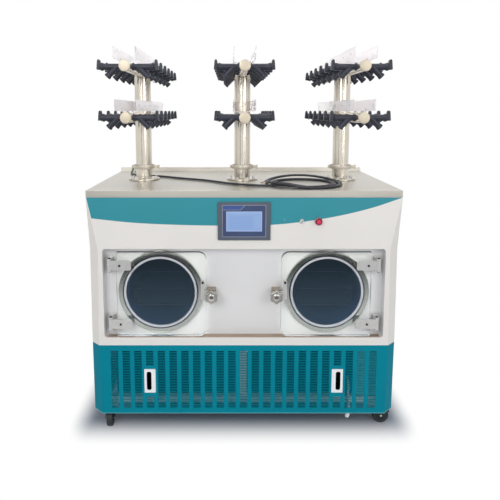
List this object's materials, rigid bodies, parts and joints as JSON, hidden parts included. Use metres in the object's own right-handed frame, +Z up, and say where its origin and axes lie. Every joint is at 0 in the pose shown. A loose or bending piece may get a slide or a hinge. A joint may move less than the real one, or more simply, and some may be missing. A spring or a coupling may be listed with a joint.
{
  "type": "freeze dryer",
  "caption": "Floor-standing laboratory freeze dryer on casters, with round shelf chambers behind clear doors and manifold towers of rubber flask valves on a steel worktop.",
  "frame": {"origin": "on the floor, under the centre of the cabinet", "axes": "+X to the right, +Y to the back, +Z up; the doors and the touch screen face -Y"},
  "size_m": [1.352, 0.88, 1.692],
  "materials": {
    "stainless_sheet": "satin brushed",
    "polished_steel": "polished",
    "white_paint": "smooth semi-gloss powder coat",
    "teal_paint": "smooth semi-gloss powder coat",
    "chassis_paint": "matt powder coat",
    "clear_acrylic": "clear, polished",
    "silicone": "smooth, translucent",
    "black_rubber": "satin",
    "black_plastic": "fine grain",
    "white_plastic": "smooth",
    "slate_plastic": "fine grain",
    "display": "glossy, lit blue",
    "red_plastic": "smooth",
    "chrome": "mirror",
    "cable_sheath": "satin"
  },
  "bodies": {
    "cabinet": {"frame": "chassis_paint", "worktop": "stainless_sheet", "drip_tray": "stainless_sheet", "left_side_panel": "white_paint", "right_side_panel": "white_paint", "rear_panel": "white_paint", "front_fascia": "white_paint", "chamber_bay": "white_paint", "screen_bezel": "slate_plastic", "touch_screen": "display", "chamber_left": "polished_steel", "door_gasket_left": "silicone", "shelf_rack_left": "stainless_sheet", "latch_post_left": "stainless_sheet", "hinge_block_left_lower": "stainless_sheet", "hinge_block_left_upper": "stainless_sheet", "chamber_right": "polished_steel", "door_gasket_right": "silicone", "shelf_rack_right": "stainless_sheet", "latch_post_right": "stainless_sheet", "hinge_block_right_lower": "stainless_sheet", "hinge_block_right_upper": "stainless_sheet", "tower_base_left": "polished_steel", "tower_clamp_left": "polished_steel", "manifold_left": "polished_steel", "tower_base_centre": "polished_steel", "tower_clamp_centre": "polished_steel", "manifold_centre": "polished_steel", "tower_base_right": "polished_steel", "tower_clamp_right": "polished_steel", "manifold_right": "polished_steel", "cord_gland": "black_plastic", "cord_lead": "cable_sheath", "cord_coil": "cable_sheath"},
    "door_left": {"door_left": "clear_acrylic", "hinge_arm_left_lower": "stainless_sheet", "hinge_arm_left_upper": "stainless_sheet", "latch_ear_left": "stainless_sheet"},
    "latch_knob_left": {"latch_knob_left": "chrome"},
    "door_right": {"door_right": "clear_acrylic", "hinge_arm_right_lower": "stainless_sheet", "hinge_arm_right_upper": "stainless_sheet", "latch_ear_right": "stainless_sheet"},
    "latch_knob_right": {"latch_knob_right": "chrome"},
    "base_cover": {"base_grille": "teal_paint", "grille_pull_left": "white_plastic", "grille_pull_right": "white_plastic"},
    "stop_button": {"stop_button": "red_plastic"},
    "selector_switch": {"selector_switch": "chrome"},
    "caster_fork_front_left": {"caster_fork_front_left": "black_plastic"},
    "caster_wheel_front_left": {"caster_wheel_front_left": "black_rubber"},
    "caster_fork_front_right": {"caster_fork_front_right": "black_plastic"},
    "caster_wheel_front_right": {"caster_wheel_front_right": "black_rubber"},
    "caster_fork_rear_left": {"caster_fork_rear_left": "black_plastic"},
    "caster_wheel_rear_left": {"caster_wheel_rear_left": "black_rubber"},
    "caster_fork_rear_right": {"caster_fork_rear_right": "black_plastic"},
    "caster_wheel_rear_right": {"caster_wheel_rear_right": "black_rubber"},
    "valve_knob_left": {"valve_knob_left": "black_plastic"},
    "valve_knob_centre": {"valve_knob_centre": "black_plastic"},
    "valve_knob_right": {"valve_knob_right": "black_plastic"}
  },
  "joints": [
    {"name": "door_left_hinge", "type": "hinge", "parent": "cabinet", "child": "door_left", "pos_m": [-0.584, -0.3692, 0.638], "axis": [0, 0, -1], "range_deg": [0, 110]},
    {"name": "latch_knob_left_turn", "type": "hinge", "parent": "door_left", "child": "latch_knob_left", "pos_m": [-0.141, -0.39, 0.632], "axis": [0, 1, 0], "continuous": true},
    {"name": "door_right_hinge", "type": "hinge", "parent": "cabinet", "child": "door_right", "pos_m": [0.584, -0.3692, 0.638], "axis": [0, 0, 1], "range_deg": [0, 110]},
    {"name": "latch_knob_right_turn", "type": "hinge", "parent": "door_right", "child": "latch_knob_right", "pos_m": [0.141, -0.39, 0.632], "axis": [0, 1, 0], "continuous": true},
    {"name": "base_cover_slide", "type": "slide", "parent": "cabinet", "child": "base_cover", "axis": [0, -1, 0], "range_m": [0, 0.12]},
    {"name": "stop_button_press", "type": "slide", "parent": "cabinet", "child": "stop_button", "axis": [0, 1, 0], "range_m": [0, 0.005], "stiffness_N_per_m": 500, "springref_m": -0.002},
    {"name": "selector_turn", "type": "hinge", "parent": "cabinet", "child": "selector_switch", "pos_m": [0.247, -0.38, 0.966], "axis": [0, 1, 0], "range_deg": [0, 90]},
    {"name": "caster_swivel_front_left", "type": "hinge", "parent": "cabinet", "child": "caster_fork_front_left", "pos_m": [-0.608, -0.295, 0.086], "axis": [0, 0, 1], "continuous": true},
    {"name": "caster_roll_front_left", "type": "hinge", "parent": "caster_fork_front_left", "child": "caster_wheel_front_left", "pos_m": [-0.608, -0.323, 0.0375], "axis": [1, 0, 0], "continuous": true},
    {"name": "caster_swivel_front_right", "type": "hinge", "parent": "cabinet", "child": "caster_fork_front_right", "pos_m": [0.608, -0.295, 0.086], "axis": [0, 0, 1], "continuous": true},
    {"name": "caster_roll_front_right", "type": "hinge", "parent": "caster_fork_front_right", "child": "caster_wheel_front_right", "pos_m": [0.636, -0.295, 0.0375], "axis": [0, 1, 0], "continuous": true},
    {"name": "caster_swivel_rear_left", "type": "hinge", "parent": "cabinet", "child": "caster_fork_rear_left", "pos_m": [-0.608, 0.295, 0.086], "axis": [0, 0, 1], "continuous": true},
    {"name": "caster_roll_rear_left", "type": "hinge", "parent": "caster_fork_rear_left", "child": "caster_wheel_rear_left", "pos_m": [-0.608, 0.323, 0.0375], "axis": [1, 0, 0], "continuous": true},
    {"name": "caster_swivel_rear_right", "type": "hinge", "parent": "cabinet", "child": "caster_fork_rear_right", "pos_m": [0.608, 0.295, 0.086], "axis": [0, 0, 1], "continuous": true},
    {"name": "caster_roll_rear_right", "type": "hinge", "parent": "caster_fork_rear_right", "child": "caster_wheel_rear_right", "pos_m": [0.608, 0.323, 0.0375], "axis": [1, 0, 0], "continuous": true},
    {"name": "valve_left_turn", "type": "hinge", "parent": "cabinet", "child": "valve_knob_left", "pos_m": [-0.368, -0.3675, 1.406], "axis": [1, 0, 0], "range_deg": [0, 180]},
    {"name": "valve_centre_turn", "type": "hinge", "parent": "cabinet", "child": "valve_knob_centre", "pos_m": [0.117, -0.3675, 1.406], "axis": [1, 0, 0], "range_deg": [0, 180]},
    {"name": "valve_right_turn", "type": "hinge", "parent": "cabinet", "child": "valve_knob_right", "pos_m": [0.602, -0.3675, 1.406], "axis": [1, 0, 0], "range_deg": [0, 180]}
  ]
}
